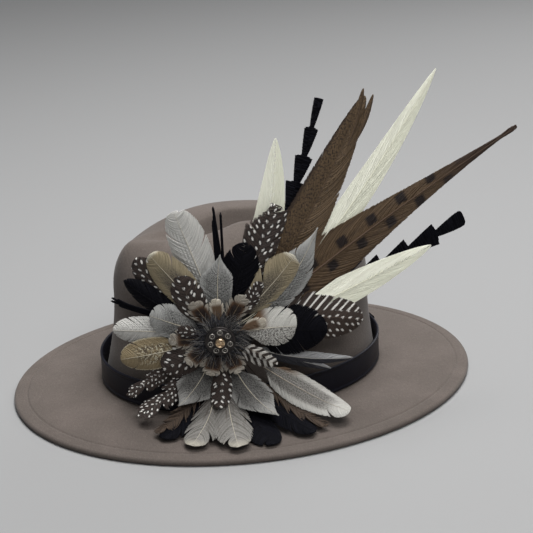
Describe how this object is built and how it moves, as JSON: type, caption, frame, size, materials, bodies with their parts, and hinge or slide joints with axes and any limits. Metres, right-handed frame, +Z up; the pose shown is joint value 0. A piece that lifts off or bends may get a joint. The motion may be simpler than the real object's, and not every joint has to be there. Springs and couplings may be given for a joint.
{
  "type": "felt fedora hat with feather mount",
  "caption": "Wide-brimmed wool felt fedora with a teardrop crown, a strap band and a pinned fan of feathers round a button.",
  "frame": {"origin": "centre of the head opening, in the plane that the edge of the brim rests on", "axes": "+Z up, -X to the front of the hat, -Y to the wearer's left, where the feathers are"},
  "size_m": [0.3561, 0.286, 0.2345],
  "materials": {
    "barred_vane": "chestnut feather with dark bars",
    "bead_bronze": "rubbed bronze",
    "black_vane": "black feather",
    "brown_fluff": "loose brown feather",
    "brown_vane": "mottled brown feather",
    "button_metal": "antique dark metal",
    "cream_fluff": "cream down",
    "cream_vane": "dyed pale feather",
    "eye_vane": "brown feather with cream rim",
    "grey_vane": "fine grey barred feather",
    "guinea_vane": "dark feather with white spots",
    "navy_vane": "blue black feather",
    "olive_vane": "olive brown feather with pale quill",
    "pad_felt": "dark needle felt",
    "pin_brass": "plain brass",
    "slate_vane": "slate feather with a white streak",
    "speckled_vane": "white feather with fine grey speckle",
    "spring_wire": "drawn wire",
    "strap_leather": "fine grained black strap with pressed edges",
    "striped_vane": "brown and cream striped feather",
    "stud_metal": "worn raised rings",
    "sweat_leather": "smooth roan leather",
    "sweat_ribbon": "ribbed ribbon",
    "tan_vane": "tan feather with pale quill",
    "white_vane": "off white feather",
    "wool_felt": "matte blocked wool felt with a short nap"
  },
  "bodies": {
    "hat": {"felt_body": "wool_felt", "brim_wire": "spring_wire", "sweatband": "sweat_leather", "sweatband_bow": "sweat_ribbon", "strap_band": "strap_leather", "band_keeper": "strap_leather"},
    "feather_mount": {"backing_disc": "pad_felt", "stem_pad": "pad_felt", "tack_pins": "pin_brass", "button_dome": "button_metal", "button_studs": "stud_metal", "button_bead": "bead_bronze", "cream_quill_top": "cream_vane", "cream_quill_tall": "cream_vane", "cream_quill_right": "cream_vane", "brown_quill_tall": "brown_vane", "barred_tail_quill": "barred_vane", "arrow_quill_upper": "black_vane", "arrow_quill_lower": "black_vane", "navy_blades": "navy_vane", "guinea_feather_top": "guinea_vane", "guinea_feather_right": "guinea_vane", "guinea_feathers_left": "guinea_vane", "guinea_feather_low_left": "guinea_vane", "guinea_tufts_front": "guinea_vane", "guinea_feather_bottom": "guinea_vane", "black_petal_top": "black_vane", "black_petal_left": "black_vane", "black_petal_right": "black_vane", "black_petals_low": "black_vane", "white_petal_top": "white_vane", "white_petal_left": "white_vane", "white_petal_right": "white_vane", "white_fringe_bottom": "white_vane", "white_petal_bottom": "white_vane", "speckled_leaf_low_right": "speckled_vane", "grey_petal_top": "grey_vane", "grey_petal_left": "grey_vane", "grey_petal_low_left": "grey_vane", "grey_petal_low_right": "grey_vane", "grey_petal_upper_right": "grey_vane", "olive_petal_left": "olive_vane", "olive_petal_right": "olive_vane", "tan_petal_left": "tan_vane", "brown_fluff_low": "brown_fluff", "slim_blades_right": "slate_vane", "eye_feathers": "eye_vane", "small_guinea_feathers": "guinea_vane", "striped_curls": "striped_vane", "cream_fluff": "cream_fluff", "black_wisps": "black_vane"},
    "front_clutch": {"front_clutch": "pin_brass"},
    "rear_clutch": {"rear_clutch": "pin_brass"}
  },
  "joints": [
    {"name": "mount_pull", "type": "slide", "parent": "hat", "child": "feather_mount", "axis": [-0.342, -0.9397, 0], "range_m": [0, 0.055]},
    {"name": "front_clutch_pull", "type": "slide", "parent": "hat", "child": "front_clutch", "axis": [0.342, 0.9397, 0], "range_m": [0, 0.012]},
    {"name": "rear_clutch_pull", "type": "slide", "parent": "hat", "child": "rear_clutch", "axis": [0.342, 0.9397, 0], "range_m": [0, 0.012]}
  ]
}
